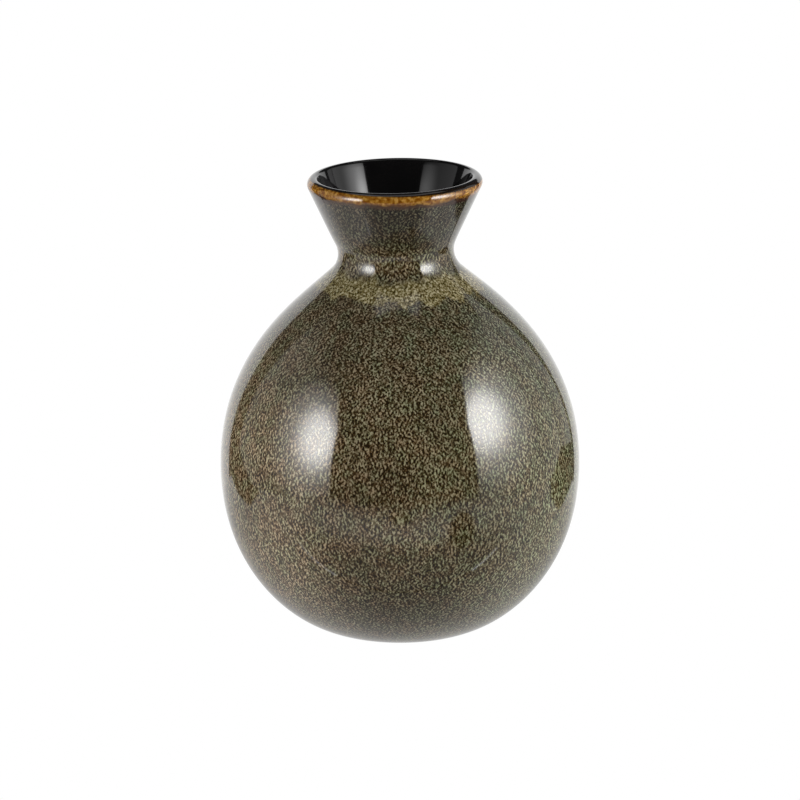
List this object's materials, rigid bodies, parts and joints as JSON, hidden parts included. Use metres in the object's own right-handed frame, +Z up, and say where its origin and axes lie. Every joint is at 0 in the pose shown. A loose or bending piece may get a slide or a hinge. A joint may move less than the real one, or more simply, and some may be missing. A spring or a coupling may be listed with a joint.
{
  "type": "sake bottle",
  "caption": "Round-bellied glazed stoneware sake bottle with a narrow waist, a flared mouth and a low foot ring.",
  "frame": {"origin": "centre of the foot ring's standing face, on the surface the bottle stands on", "axes": "+Z up from the foot to the mouth; -Y is the front, and the neck sits 1.3 mm off centre towards -X"},
  "size_m": [0.092, 0.092, 0.1181],
  "materials": {
    "bare_clay": "unglazed fired stoneware, fine-grained and matt",
    "speckled_glaze": "glossy olive-brown glaze, finely speckled",
    "pooled_glaze": "glossy olive-yellow glaze, thick and streaked",
    "amber_glaze": "glossy amber-brown glaze, thin and mottled",
    "black_glaze": "glossy black glaze"
  },
  "bodies": {
    "root": {"foot_ring": "bare_clay", "belly": "bare_clay", "neck": "bare_clay", "belly_glaze": "speckled_glaze", "shoulder_glaze": "pooled_glaze", "neck_glaze": "speckled_glaze", "lip_glaze": "amber_glaze", "inner_glaze": "black_glaze", "base_glaze": "speckled_glaze"}
  },
  "joints": []
}
